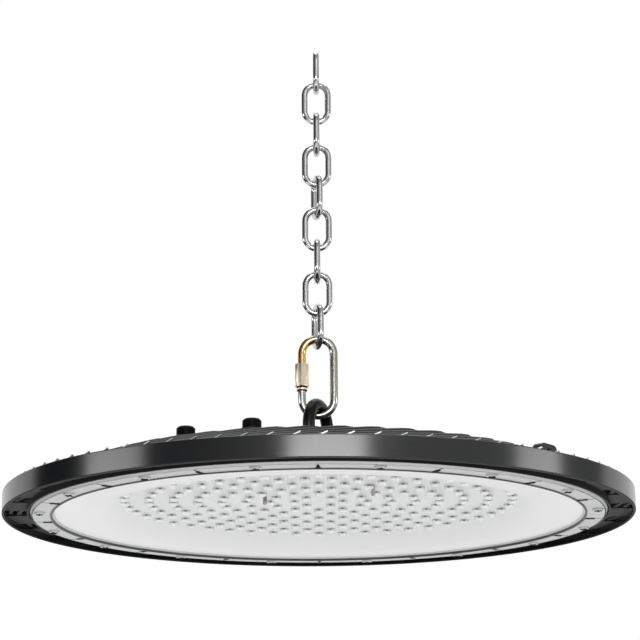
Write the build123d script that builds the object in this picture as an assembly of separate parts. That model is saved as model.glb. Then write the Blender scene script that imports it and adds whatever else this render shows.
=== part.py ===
"""Round LED high bay light on a nine-link chain, hung with a screw link.

The fixture is a slim disc. A cast housing holds everything: a thin outer rim, a ring of
vent gaps crossed by spokes, a stepped core plate, swirl fins on top and a round driver
compartment. From below, a clear lens with one dome for each LED is held by a screwed
clamp ring. An eye bolt in the driver cover hangs in the screw link.

Millimetres. The fixture is drawn with its rim plane at height 0 and its axis on Z, and
each finished piece is then lowered so that the origin is the hang point: the underside
of the top bend of the first chain link. The light shines towards -Z.
"""

import os
from math import cos, radians, sin, sqrt

from build123d import *

# Rim, vent gap and spokes
rim_radius = 150.0
rim_height = 10.0
rim_wall_low = 1.2
rim_wall_high = 3.4
rim_edge_round = 0.5
spoke_count = 25
spoke_start_angle = 1.6
spoke_width = 22.0
spoke_bottom = 3.6
spoke_top = 4.8

# Core plate, from the lens seat at the edge to the raised middle
core_radius = 138.4
core_lip_wall = 0.9
core_lip_bottom = 1.0
core_ledge_depth = 1.0
plate_thickness = 3.0
step_radius = 110.0
step_run = 3.5

# Swirl fins
fin_count = 50
fin_thickness = 1.8
fin_shoulder_radius = 115.0
fin_top = 21.0
fin_curve_radius = 95.0
fin_start_sweep = 55.0
fin_phase = 0.5
long_fin_every = 2
short_fin_start = 84.0
embed = 0.7

# Lens, its gasket and its clamp ring, from the rim plane up
clamp_bottom = 0.1
clamp_thickness = 1.4
clamp_outer_radius = 136.2
clamp_inner_radius = 127.5
clamp_bevel = 2.1
clamp_segments = 16
seam_width = 1.0
seam_depth = 0.4
notch_radius = 1.4
notch_offset = 0.3
lens_thickness = 1.7
lens_outer_radius = 135.8
lens_flat_radius = 106.7
lens_slope_run = 10.0
lens_rise = 8.0
lens_gasket_thickness = 0.8
lens_gasket_inner = 125.2
lens_gasket_outer = 129.6
clamp_screw_circle = 132.6
clamp_screw_radius = 1.5
clamp_screw_head_radius = 2.7
clamp_screw_head_height = 1.2
clamp_screw_length = 8.0
clamp_boss_radius = 3.2
clamp_boss_height = 3.2

# Domes and LEDs stand on rings, each ring with six more than the last
dome_rings = 8
domes_in_first_ring = 6
dome_pitch = 11.6
dome_base_radius = 2.4
dome_tip_radius = 1.3
dome_height = 2.4
dome_sides = 6
gate_stub_radius = 1.0
gate_stub_length = 4.9
gate_stub_places = [(-25.3, -17.9), (25.2, -37.8)]
led_size = 2.8
led_height = 0.7
led_gap = 0.7
board_radius = 102.0
board_thickness = 1.6
board_screw_count = 8
board_screw_circle = 4.5 * dome_pitch
board_screw_start = 22.5
board_screw_radius = 1.5
board_screw_head_radius = 2.6
board_screw_head_height = 1.1
board_screw_length = 4.2

# Driver compartment and cover
driver_radius = 60.0
driver_wall = 2.5
driver_wall_height = 11.0
cover_gasket_thickness = 1.0
cover_thickness = 3.0
cover_round = 1.2
cover_screw_count = 6
cover_screw_circle = 53.5
cover_screw_radius = 2.0
cover_screw_head_radius = 3.9
cover_screw_length = 9.0
cover_boss_radius = 4.6
cover_boss_depth = 5.0
eye_boss_radius = 11.0

# Eye bolt with its washer and locknut
eye_wire = 6.0
eye_ring_outer = 29.0
eye_sink = 1.6
eye_yaw = 67.0
eye_collar_radius = 9.0
eye_collar_height = 3.4
eye_collar_step = 1.1
eye_shank_radius = 5.0
washer_radius = 10.0
washer_thickness = 1.5
nut_across_flats = 16.0
nut_height = 4.8

# Driver board and what it carries
driver_board_outer = 48.0
driver_board_inner = 14.0
driver_board_lift = 2.0
standoff_radius = 3.0
standoff_circle = 43.0
standoff_angles = [35.0, 145.0, 215.0, 325.0]
driver_screw_radius = 1.5
driver_screw_head_radius = 2.7
driver_screw_head_height = 1.8
transformer_length = 24.0
transformer_width = 20.0
transformer_height = 7.6
transformer_yoke = 1.9
transformer_window = 12.0
winding_width = 13.0
capacitor_radius = 3.8
capacitor_length = 17.0
capacitor_spacing = 9.0
choke_outer = 9.0
choke_inner = 3.6
choke_height = 7.0
terminal_length = 15.0
terminal_width = 9.0
terminal_height = 7.6
terminal_ways = 3
terminal_entry_radius = 1.6
terminal_place = (15.0, 35.0)
component_circle = 32.0

# Leads between the driver board and the LED board
lead_place = (0.0, -1.5 * dome_pitch)
lead_spacing = 2.2
lead_radius = 0.7
grommet_radius = 3.6
grommet_flange = 5.0
grommet_flange_thickness = 1.0
grommet_clearance = 0.1

# Cable gland on the far side of the driver wall
gland_height = 6.4
gland_stem_radius = 4.2
gland_bore_radius = 3.5
gland_hex = 12.0
gland_hex_length = 5.0
gland_nut_length = 11.0
gland_nut_straight = 6.6
gland_nut_tip_radius = 4.6
gland_locknut_length = 2.5
gland_channel_width = 18.0
gland_channel_end = 118.0

# Breather valve and port plug on bosses between the fins
cap_radius = 4.25
cap_height = 4.6
cap_round = 0.9
cap_slot_width = 1.0
cap_slot_length = 5.6
cap_slot_depth = 1.1
cap_boss_radius = 5.4
cap_top = 30.0
cap_stem_radius = 2.5
cap_stem_length = 5.0
breather_place = (-59.0, -73.0)
plug_place = (-29.0, -88.0)

# Safety rope lug, standing across a pocket in the fins
lug_angle = -40.0
lug_circle = 130.0
lug_width = 13.0
lug_thickness = 4.5
lug_top = 18.6
lug_round = 3.0
lug_hole_radius = 2.4
lug_hole_drop = 4.4
lug_pocket_inner = 118.0
lug_pocket_outer = 147.0
lug_pocket_width = 19.0

# Screw link
link_wire = 4.0
link_outer_length = 42.6
link_outer_width = 19.6
sleeve_across_flats = 6.6
sleeve_length = 11.4
sleeve_bottom = 14.3
sleeve_travel = 5.0
stub_in_sleeve = 1.6
stub_collar_radius = 2.5
stub_collar_height = 1.9
running_gap = 0.08

# Chain
chain_wire = 3.2
chain_inner_length = 17.1
chain_outer_width = 15.0
chain_links = 9
chain_wire_sides = 8
link_gap = 0.3
twists = {5: 14.0, 9: 15.0}

# Clearances
screw_clearance = 0.2
seat_gap = 0.1

# Heights that follow, from the rim plane
clamp_top = clamp_bottom + clamp_thickness
lens_flange_top = clamp_top + lens_thickness
seat_height = lens_flange_top + lens_gasket_thickness
outer_plate_top = seat_height + plate_thickness
dome_plane = clamp_top + lens_rise
led_bottom = dome_plane + lens_thickness + led_gap
board_bottom = led_bottom + led_height
inner_seat = board_bottom + board_thickness
floor_height = inner_seat + plate_thickness
driver_wall_top = floor_height + driver_wall_height
cover_bottom = driver_wall_top + cover_gasket_thickness
cover_top = cover_bottom + cover_thickness
driver_board_bottom = floor_height + driver_board_lift
driver_board_top = driver_board_bottom + board_thickness
eye_centre_height = cover_top - eye_sink + eye_ring_outer / 2
eye_ring_radius = (eye_ring_outer - eye_wire) / 2
link_end_radius = (link_outer_width - link_wire) / 2
link_bottom_height = eye_centre_height + eye_ring_radius - (eye_wire + link_wire) / 2 - link_gap
link_top_height = link_bottom_height + link_outer_length - link_wire
chain_end_radius = (chain_outer_width - chain_wire) / 2
chain_span = chain_inner_length + chain_wire
last_chain_bottom = link_top_height - (link_wire + chain_wire) / 2 - link_gap
chain_step = chain_span - chain_wire - link_gap
first_chain_top = last_chain_bottom + chain_span + (chain_links - 1) * chain_step
hang_height = first_chain_top - chain_wire / 2

# Radii that follow
driver_inner = driver_radius - driver_wall
step_top_radius = step_radius + step_run
fin_outer_radius = rim_radius - rim_wall_low / 2


def turned(*points):
    """A solid turned about the vertical axis from an outline of (radius, height) points."""
    outline = Plane.XZ * Polyline(*points, close=True)
    return revolve(make_face(outline), Axis.Z)


def ring(outer, inner, bottom, top):
    """A flat ring, or a disc where the inner radius is 0."""
    return turned((inner, bottom), (outer, bottom), (outer, top), (inner, top))


def post(radius, bottom, top, x=0.0, y=0.0):
    """An upright round bar."""
    base = Pos(x, y, bottom) * Circle(radius)
    return extrude(base, amount=top - bottom)


def block(length, width, bottom, top, x=0.0, y=0.0):
    """An upright box centred on a place."""
    base = Pos(x, y, bottom) * Rectangle(length, width)
    return extrude(base, amount=top - bottom)


def around(circle, count, start=0.0):
    """The places of an even round pattern, as (x, y, angle)."""
    for k in range(count):
        angle = start + 360 * k / count
        yield circle * cos(radians(angle)), circle * sin(radians(angle)), angle


def dome_places():
    """Where each dome and the LED behind it stand."""
    for k in range(1, dome_rings + 1):
        yield from around(k * dome_pitch, domes_in_first_ring * k)


def joined(shapes):
    """Overlapping shapes fused to one solid."""
    shapes = list(shapes)
    return shapes[0].fuse(*shapes[1:])


def group(shapes):
    """Separate solids kept side by side in one node."""
    return Compound([solid for shape in shapes for solid in shape.solids()])


def save(name, shape):
    """Lowers a piece to the hang frame and writes it."""
    export_step(Pos(0, 0, -hang_height) * shape, f"parts/{name}.step")


def fin_envelope(start):
    """The turned space that holds the fins, from a start radius out into the rim."""
    shoulder_slope = (fin_top - rim_height) / (rim_radius - rim_wall_high - fin_shoulder_radius)
    end_top = rim_height - shoulder_slope * (fin_outer_radius - rim_radius + rim_wall_high)
    return turned(
        (start, floor_height - embed),
        (step_radius, floor_height - embed),
        (step_top_radius, outer_plate_top - embed),
        (core_radius - core_lip_wall, outer_plate_top - embed),
        (core_radius - core_lip_wall, spoke_top - embed),
        (fin_outer_radius, spoke_top - embed),
        (fin_outer_radius, end_top),
        (fin_shoulder_radius, fin_top),
        (start, fin_top),
    )


def fin(start):
    """One fin: it leaves the driver wall at a slant and sweeps further back towards the rim."""
    sweep = radians(fin_start_sweep)
    centre = Pos(driver_radius - fin_curve_radius * sin(sweep), -fin_curve_radius * cos(sweep), 0)
    outer = centre * Circle(fin_curve_radius + fin_thickness / 2)
    inner = centre * Circle(fin_curve_radius - fin_thickness / 2)
    wall = extrude(outer - inner, amount=fin_top + embed)
    front_half = Pos(rim_radius, 0, 0) * Box(2 * rim_radius, 2 * rim_radius, 3 * fin_top)
    return (wall & fin_envelope(start) & front_half).solid()


def fins():
    """All the fins, with every third one running in to the driver wall."""
    long_fin = fin(driver_radius - embed)
    short_fin = fin(short_fin_start)
    for k in range(fin_count):
        shape = short_fin if k % long_fin_every else long_fin
        yield Rot(0, 0, 360 * (k + fin_phase) / fin_count) * shape


def core():
    """The stepped plate with the lens seat below and the driver wall on top."""
    ledge_radius = core_radius - core_ledge_depth
    lip_inner = core_radius - core_lip_wall
    return turned(
        (0, inner_seat),
        (step_radius - step_run, inner_seat),
        (step_radius, seat_height),
        (lip_inner, seat_height),
        (lip_inner, core_lip_bottom),
        (core_radius, core_lip_bottom),
        (core_radius, spoke_top),
        (ledge_radius, spoke_top),
        (ledge_radius, outer_plate_top),
        (step_top_radius, outer_plate_top),
        (step_radius, floor_height),
        (driver_radius, floor_height),
        (driver_radius, driver_wall_top),
        (driver_inner, driver_wall_top),
        (driver_inner, floor_height),
        (0, floor_height),
    )


def rim():
    """The outer ring, thin at its lower lip and thicker where the fins meet it."""
    low, high = rim_radius - rim_wall_low, rim_radius - rim_wall_high
    shape = turned(
        (low, 0),
        (rim_radius, 0),
        (rim_radius, rim_height),
        (high, rim_height),
        (low, spoke_top),
    )
    circles = shape.edges().filter_by(GeomType.CIRCLE)
    return fillet(circles.group_by(SortBy.RADIUS)[-1], rim_edge_round)


def spokes():
    """The wide flat webs that carry the rim from the core, across the vent gap."""
    length = rim_radius - rim_wall_low - core_radius + 2 * embed
    middle = (rim_radius - rim_wall_low + core_radius) / 2
    bar = block(length, spoke_width, spoke_bottom, spoke_top, middle)
    for k in range(spoke_count):
        yield Rot(0, 0, spoke_start_angle + 360 * k / spoke_count) * bar


def safety_lug():
    """A plate for a safety rope, standing square to the radius with its upper corners rounded."""
    root = outer_plate_top - embed
    plate = Pos(0, 0, (root + lug_top) / 2) * Box(lug_thickness, lug_width, lug_top - root)
    upper = plate.edges().filter_by(Axis.X).group_by(Axis.Z)[-1]
    return Rot(0, 0, lug_angle) * Pos(lug_circle, 0, 0) * fillet(upper, lug_round)


def safety_lug_hole():
    """The hole through the safety lug."""
    hole = Rot(0, 90, 0) * Cylinder(lug_hole_radius, 2 * lug_thickness)
    return Rot(0, 0, lug_angle) * Pos(lug_circle, 0, lug_top - lug_hole_drop) * hole


def fin_clearances():
    """The channel in the fins for the supply cable, and the pocket round the safety lug."""
    channel_length = gland_channel_end - driver_inner
    channel_middle = driver_inner + channel_length / 2
    channel = block(gland_channel_width, channel_length, floor_height, fin_top + embed, 0, channel_middle)
    pocket_length = lug_pocket_outer - lug_pocket_inner
    pocket_middle = (lug_pocket_outer + lug_pocket_inner) / 2
    pocket = block(pocket_length, lug_pocket_width, outer_plate_top, fin_top + embed, pocket_middle)
    return [channel, Rot(0, 0, lug_angle) * pocket]


def radial(shape, start):
    """Lays an upright shape down so that its foot is at a radius and it points to +Y."""
    return Pos(0, start, floor_height + gland_height) * Rot(-90, 0, 0) * shape


def housing():
    """The casting: rim, spokes, core, fins, bosses and lug, with its holes."""
    bosses = [
        post(clamp_boss_radius, outer_plate_top - embed, outer_plate_top + clamp_boss_height, x, y)
        for x, y, _ in around(clamp_screw_circle, clamp_segments, 180 / clamp_segments)
    ]
    bosses += [
        post(cover_boss_radius, floor_height - embed, driver_wall_top, x, y)
        for x, y, _ in around(cover_screw_circle, cover_screw_count)
    ]
    finned = joined([core(), *(group(fins()) - fin_clearances()).solids()])
    caps = [
        post(cap_boss_radius, floor_height - embed, cap_top - cap_height, x, y)
        for x, y in (breather_place, plug_place)
    ]
    body = joined([finned, rim(), *spokes(), *bosses, *caps, safety_lug()])
    holes = [safety_lug_hole()]
    holes += [
        post(clamp_screw_radius, 0, clamp_bottom + clamp_screw_length + seat_gap, x, y)
        for x, y, _ in around(clamp_screw_circle, clamp_segments, 180 / clamp_segments)
    ]
    holes += [
        post(cover_screw_radius, cover_top - cover_screw_length - seat_gap, cover_top, x, y)
        for x, y, _ in around(cover_screw_circle, cover_screw_count)
    ]
    holes += [
        post(board_screw_radius, 0, board_bottom + board_screw_length + seat_gap, x, y)
        for x, y, _ in around(board_screw_circle, board_screw_count, board_screw_start)
    ]
    holes += [
        post(cap_stem_radius, cap_top - cap_height - cap_stem_length - seat_gap, cap_top, x, y)
        for x, y in (breather_place, plug_place)
    ]
    holes += [
        post(driver_screw_radius, floor_height - plate_thickness / 2, floor_height, x, y)
        for x, y in standoff_places()
    ]
    holes.append(post(grommet_radius + grommet_clearance, 0, driver_wall_top, *lead_place))
    holes.append(radial(post(gland_stem_radius, 0, 2 * driver_wall), driver_inner - embed))
    return body - holes


def clamp_ring():
    """The flat ring that holds the lens, with bevelled inner edge, seams and notches."""
    bevel_radius = clamp_inner_radius - clamp_bevel
    shape = turned(
        (clamp_inner_radius, clamp_bottom),
        (clamp_outer_radius, clamp_bottom),
        (clamp_outer_radius, clamp_top),
        (bevel_radius, clamp_top),
    )
    length = clamp_outer_radius - bevel_radius + 2 * embed
    middle = (clamp_outer_radius + bevel_radius) / 2
    seam = block(length, seam_width, 0, clamp_bottom + seam_depth, middle)
    notch = post(notch_radius, 0, clamp_top, clamp_inner_radius + notch_offset)
    cuts = []
    for k in range(clamp_segments):
        turn = Rot(0, 0, 360 * k / clamp_segments)
        cuts += [turn * seam, turn * notch]
    cuts += [
        post(clamp_screw_radius + screw_clearance, 0, clamp_top, x, y)
        for x, y, _ in around(clamp_screw_circle, clamp_segments, 180 / clamp_segments)
    ]
    return shape - cuts


def dome():
    """One faceted dome, hanging from the lens over an LED."""
    base = Pos(0, 0, dome_plane + embed / 2) * RegularPolygon(dome_base_radius, dome_sides)
    tip = Pos(0, 0, dome_plane - dome_height) * RegularPolygon(dome_tip_radius, dome_sides)
    return loft([base, tip])


def lens():
    """The clear dish: a flange under the clamp ring, a sloped wall and the domed middle."""
    slope_end = lens_flat_radius - lens_slope_run
    top = dome_plane + lens_thickness
    shape = turned(
        (0, dome_plane),
        (slope_end, dome_plane),
        (lens_flat_radius, clamp_top),
        (lens_outer_radius, clamp_top),
        (lens_outer_radius, lens_flange_top),
        (lens_flat_radius + lens_thickness / 2, lens_flange_top),
        (slope_end + lens_thickness / 2, top),
        (0, top),
    )
    one = dome()
    domes = [Pos(x, y, 0) * one for x, y, _ in dome_places()]
    stubs = [
        post(gate_stub_radius, dome_plane - gate_stub_length, dome_plane + embed, x, y)
        for x, y in gate_stub_places
    ]
    holes = [
        post(clamp_screw_radius + screw_clearance, 0, lens_flange_top, x, y)
        for x, y, _ in around(clamp_screw_circle, clamp_segments, 180 / clamp_segments)
    ]
    return joined([shape, *domes, *stubs]) - holes


def clamp_screws():
    """Button-head screws through the clamp ring and the lens into the casting."""
    screw = joined([
        post(clamp_screw_head_radius, clamp_bottom - clamp_screw_head_height, clamp_bottom),
        post(clamp_screw_radius, clamp_bottom - embed, clamp_bottom + clamp_screw_length),
    ])
    places = around(clamp_screw_circle, clamp_segments, 180 / clamp_segments)
    return group([Pos(x, y, 0) * screw for x, y, _ in places])


def led_board():
    """The aluminium circuit board under the core, with screw holes and the lead hole."""
    holes = [
        post(board_screw_radius + screw_clearance, 0, inner_seat, x, y)
        for x, y, _ in around(board_screw_circle, board_screw_count, board_screw_start)
    ]
    holes += lead_posts(0, inner_seat, lead_radius + grommet_clearance)
    return ring(board_radius, 0, board_bottom, inner_seat) - holes


def leds():
    """One square LED behind each dome."""
    one = block(led_size, led_size, led_bottom, board_bottom)
    return group([Pos(x, y, 0) * Rot(0, 0, angle) * one for x, y, angle in dome_places()])


def board_screws():
    """Low-head screws that press the LED board to the core."""
    screw = joined([
        post(board_screw_head_radius, board_bottom - board_screw_head_height, board_bottom),
        post(board_screw_radius, board_bottom - embed / 2, board_bottom + board_screw_length),
    ])
    places = around(board_screw_circle, board_screw_count, board_screw_start)
    return group([Pos(x, y, 0) * screw for x, y, _ in places])


def driver_cover():
    """The cast cover of the driver compartment, with a boss for the eye bolt."""
    shape = ring(driver_radius, 0, cover_bottom, cover_top)
    shape = fillet(shape.edges().sort_by(Axis.Z)[-1], cover_round)
    boss = post(eye_boss_radius, cover_bottom - cover_boss_depth, cover_bottom + embed)
    holes = [post(eye_shank_radius, 0, cover_top)]
    for x, y, _ in around(cover_screw_circle, cover_screw_count):
        holes.append(cover_screw(screw_clearance, x, y))
    return joined([shape, boss]) - holes


def cover_screw(clearance=0.0, x=0.0, y=0.0):
    """A countersunk screw, flush with the cover, or the hole that it needs."""
    shank, head = cover_screw_radius + clearance, cover_screw_head_radius + clearance
    cone_foot = cover_top - head + shank
    return Pos(x, y, 0) * turned(
        (0, cover_top - cover_screw_length),
        (shank, cover_top - cover_screw_length),
        (shank, cone_foot),
        (head, cover_top),
        (0, cover_top),
    )


def cover_screws():
    """The screws round the driver cover."""
    return group([cover_screw(0, x, y) for x, y, _ in around(cover_screw_circle, cover_screw_count)])


def cover_gasket():
    """A flat seal between the driver wall and its cover, with an ear for each screw."""
    wall = ring(driver_radius, driver_inner, driver_wall_top, cover_bottom)
    ears = [
        post(cover_boss_radius, driver_wall_top, cover_bottom, x, y)
        for x, y, _ in around(cover_screw_circle, cover_screw_count)
    ]
    holes = [
        post(cover_screw_radius + screw_clearance, 0, cover_top, x, y)
        for x, y, _ in around(cover_screw_circle, cover_screw_count)
    ]
    return joined([wall, *ears]) - holes


def eye_bolt():
    """A forged eye: ring, tapered collar and threaded shank in one piece."""
    loop = Pos(0, 0, eye_centre_height) * Rot(90, 0, 0) * Torus(eye_ring_radius, eye_wire / 2)
    loop -= ring(eye_ring_outer, 0, 0, cover_top)
    collar = turned(
        (0, cover_top),
        (eye_collar_radius, cover_top),
        (eye_collar_radius, cover_top + eye_collar_step),
        (eye_wire / 2, cover_top + eye_collar_height),
        (0, cover_top + eye_collar_height),
    )
    shank_bottom = cover_bottom - cover_boss_depth - washer_thickness - nut_height
    shank = post(eye_shank_radius, shank_bottom, cover_top + embed)
    return Rot(0, 0, eye_yaw) * joined([loop, collar, shank])


def eye_washer():
    """The washer under the cover's boss."""
    top = cover_bottom - cover_boss_depth
    return ring(washer_radius, eye_shank_radius + screw_clearance, top - washer_thickness, top)


def eye_locknut():
    """The thin nut that holds the eye bolt inside the driver compartment."""
    top = cover_bottom - cover_boss_depth - washer_thickness
    base = Pos(0, 0, top - nut_height) * RegularPolygon(nut_across_flats / sqrt(3), 6)
    return extrude(base, amount=nut_height) - post(eye_shank_radius, 0, cover_top)


def standoff_places():
    """Where the driver board stands on its spacers."""
    for angle in standoff_angles:
        yield standoff_circle * cos(radians(angle)), standoff_circle * sin(radians(angle))


def driver_board():
    """The ring-shaped driver circuit board, open round the eye bolt's nut."""
    holes = [
        post(driver_screw_radius + screw_clearance, 0, cover_top, x, y)
        for x, y in standoff_places()
    ]
    holes += lead_posts(0, cover_top, lead_radius + grommet_clearance)
    return ring(driver_board_outer, driver_board_inner, driver_board_bottom, driver_board_top) - holes


def driver_spacers():
    """Spacers under the driver board."""
    tube = ring(standoff_radius, driver_screw_radius + screw_clearance, floor_height, driver_board_bottom)
    return group([Pos(x, y, 0) * tube for x, y in standoff_places()])


def driver_screws():
    """Screws through the driver board and its spacers into the core."""
    screw = joined([
        post(driver_screw_radius, floor_height - plate_thickness / 2 + seat_gap, driver_board_top + embed),
        post(driver_screw_head_radius, driver_board_top, driver_board_top + driver_screw_head_height),
    ])
    return group([Pos(x, y, 0) * screw for x, y in standoff_places()])


def transformer_core():
    """A flat ferrite core with the window that its winding fills."""
    base, top = driver_board_top, driver_board_top + transformer_height
    shape = block(transformer_length, transformer_width, base, top, -component_circle)
    yoke_bottom = top - transformer_yoke
    window = block(transformer_window, 2 * transformer_width, base, yoke_bottom, -component_circle)
    return shape - window


def transformer_winding():
    """The transformer's wound bobbin, through the core's window."""
    top = driver_board_top + transformer_height - transformer_yoke - seat_gap
    return block(
        transformer_window - 2 * seat_gap,
        transformer_width + winding_width / 2,
        driver_board_top,
        top,
        -component_circle,
    )


def capacitors():
    """Electrolytic capacitors lying on the driver board."""
    can = Rot(0, 90, 0) * Cylinder(capacitor_radius, capacitor_length)
    height = driver_board_top + capacitor_radius
    rows = [component_circle - capacitor_spacing / 2, component_circle + capacitor_spacing / 2]
    return group([Pos(0, -y, height) * can for y in rows])


def choke():
    """A ring-core choke standing flat on the driver board."""
    return Pos(component_circle, 0, 0) * ring(
        choke_outer, choke_inner, driver_board_top, driver_board_top + choke_height
    )


def terminal_block():
    """The mains terminal, with a round wire entry for each way, facing the gland."""
    x, y = terminal_place
    top = driver_board_top + terminal_height
    shape = block(terminal_length, terminal_width, driver_board_top, top, x, y)
    way = terminal_length / terminal_ways
    entry = Rot(-90, 0, 0) * post(terminal_entry_radius, 0, terminal_width)
    entries = []
    for k in range(terminal_ways):
        entry_x = x + (k - (terminal_ways - 1) / 2) * way
        entries.append(Pos(entry_x, y, driver_board_top + terminal_height / 2) * entry)
    return shape - entries


def lead_posts(bottom, top, radius=lead_radius):
    """The two straight leads, or the holes that they need."""
    x, y = lead_place
    return [post(radius, bottom, top, x + side * lead_spacing / 2, y) for side in (-1, 1)]


def led_leads():
    """The pair of stiff leads from the driver board down to the LED board."""
    return group(lead_posts(board_bottom, driver_board_top + embed))


def lead_grommet():
    """The rubber bush that lines the core's lead hole."""
    x, y = lead_place
    shape = Pos(x, y, 0) * turned(
        (0, inner_seat),
        (grommet_radius, inner_seat),
        (grommet_radius, floor_height),
        (grommet_flange, floor_height),
        (grommet_flange, floor_height + grommet_flange_thickness),
        (0, floor_height + grommet_flange_thickness),
    )
    return shape - lead_posts(0, cover_top, lead_radius + seat_gap / 2)


def gland_body():
    """The gland's threaded stem and hexagon, through the driver wall."""
    stem_length = driver_wall + gland_locknut_length + embed
    stem = Pos(0, 0, -stem_length) * extrude(Circle(gland_stem_radius), amount=stem_length + embed)
    hexagon = extrude(RegularPolygon(gland_hex / sqrt(3), 6), amount=gland_hex_length)
    shape = joined([stem, hexagon])
    shape -= Pos(0, 0, -stem_length) * extrude(
        Circle(gland_bore_radius), amount=stem_length + gland_hex_length
    )
    return radial(shape, driver_radius)


def gland_nut():
    """The domed clamping nut at the gland's mouth."""
    shape = turned(
        (gland_bore_radius, 0),
        (gland_hex / 2, 0),
        (gland_hex / 2, gland_nut_straight),
        (gland_nut_tip_radius, gland_nut_length),
        (gland_bore_radius, gland_nut_length),
    )
    return radial(shape, driver_radius + gland_hex_length)


def gland_locknut():
    """The nut that holds the gland inside the driver wall."""
    shape = extrude(RegularPolygon(gland_hex / 2, 6), amount=gland_locknut_length)
    shape -= extrude(Circle(gland_stem_radius), amount=gland_locknut_length)
    seat = sqrt(driver_inner**2 - (gland_hex / 2) ** 2) - seat_gap
    return radial(shape, seat - gland_locknut_length)


def cap(place, slot_count):
    """A round cap on its boss, with a stem in the casting and driver slots across its top."""
    x, y = place
    shape = turned(
        (0, cap_top - cap_height),
        (cap_radius, cap_top - cap_height),
        (cap_radius, cap_top - cap_round),
        (cap_radius - cap_round, cap_top),
        (0, cap_top),
    )
    stem = post(cap_stem_radius, cap_top - cap_height - cap_stem_length, cap_top - cap_height + embed)
    slot = block(cap_slot_length, cap_slot_width, cap_top - cap_slot_depth, cap_top)
    slots = [Rot(0, 0, 180 * k / slot_count) * slot for k in range(slot_count)]
    return Pos(x, y, 0) * (joined([shape, stem]) - slots)


def wire_loop(section, end_radius, bottom, top):
    """A closed link: a wire section carried along two legs and two half-round bends.

    The link stands in the XZ plane. Bottom and top are the heights of the wire's centre.
    """
    low, high = bottom + end_radius, top - end_radius
    leg_face = Plane.XY * section
    legs = [Pos(side * end_radius, 0, low) * extrude(leg_face, amount=high - low) for side in (-1, 1)]
    start = Pos(end_radius, 0, 0) * leg_face
    bend = revolve(start, Axis((0, 0, 0), (0, 1, 0)), 180)
    upper = bend if bend.center().Z > 0 else Rot(180, 0, 0) * bend
    return joined([*legs, Pos(0, 0, high) * upper, Pos(0, 0, low) * Rot(180, 0, 0) * upper])


def chain_link(number):
    """One welded chain link, each a quarter turn from the last."""
    top = first_chain_top - (number - 1) * chain_step
    section = RegularPolygon(chain_wire / 2, chain_wire_sides, major_radius=False)
    section = Rot(0, 0, 180 / chain_wire_sides) * section
    shape = wire_loop(section, chain_end_radius, top - chain_span, top)
    return Rot(0, 0, chain_yaw(number)) * shape


def chain_yaw(number):
    """A link's turn about the hang axis: the odd ones are edge-on from the front."""
    return 90 * (number % 2) + twists.get(number, 0.0)


def quick_link():
    """The screw link's body: a wire loop with a mouth in its left leg, under the sleeve."""
    shape = wire_loop(Circle(link_wire / 2), link_end_radius, link_bottom_height, link_top_height)
    low = link_bottom_height + sleeve_bottom + stub_in_sleeve
    high = link_bottom_height + sleeve_bottom + sleeve_travel
    shape -= block(2 * link_wire, 2 * link_wire, low, high, -link_end_radius)
    collar_top = link_bottom_height + sleeve_bottom - seat_gap
    collar = post(stub_collar_radius, collar_top - stub_collar_height, collar_top, -link_end_radius)
    return joined([shape, collar])


def quick_link_sleeve():
    """The hexagon sleeve that closes the screw link's mouth."""
    bottom = link_bottom_height + sleeve_bottom
    base = Pos(-link_end_radius, 0, bottom) * RegularPolygon(sleeve_across_flats / sqrt(3), 6)
    bore = post(link_wire / 2 + running_gap, 0, link_top_height, -link_end_radius)
    return extrude(base, amount=sleeve_length) - bore


def main():
    """Builds and writes every piece."""
    os.makedirs("parts", exist_ok=True)
    save("housing", housing())
    save("clamp_ring", clamp_ring())
    save("clamp_screws", clamp_screws())
    save("lens", lens())
    save("lens_gasket", ring(lens_gasket_outer, lens_gasket_inner, lens_flange_top, seat_height))
    save("led_board", led_board())
    save("leds", leds())
    save("board_screws", board_screws())
    save("driver_cover", driver_cover())
    save("cover_gasket", cover_gasket())
    save("cover_screws", cover_screws())
    save("eye_bolt", eye_bolt())
    save("eye_washer", eye_washer())
    save("eye_locknut", eye_locknut())
    save("driver_board", driver_board())
    save("driver_spacers", driver_spacers())
    save("driver_screws", driver_screws())
    save("transformer_core", transformer_core())
    save("transformer_winding", transformer_winding())
    save("capacitors", capacitors())
    save("choke", choke())
    save("terminal_block", terminal_block())
    save("led_leads", led_leads())
    save("lead_grommet", lead_grommet())
    save("gland_body", gland_body())
    save("gland_nut", gland_nut())
    save("gland_locknut", gland_locknut())
    save("breather_valve", cap(breather_place, 2))
    save("port_plug", cap(plug_place, 1))
    save("quick_link", quick_link())
    save("quick_link_sleeve", quick_link_sleeve())
    for number in range(1, chain_links + 1):
        save(f"chain_link_{number}", chain_link(number))


main()
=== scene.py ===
"""The looks of the round LED high bay light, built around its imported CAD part.

Metres, in the part's own frame: the origin is the hang point and the light shines down.
Heights on the fixture are measured up from its rim plane, as in the CAD source.
"""

from math import cos, pi, radians, sin, tau

import bmesh
import bpy
from mathutils import Matrix, Vector


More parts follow.
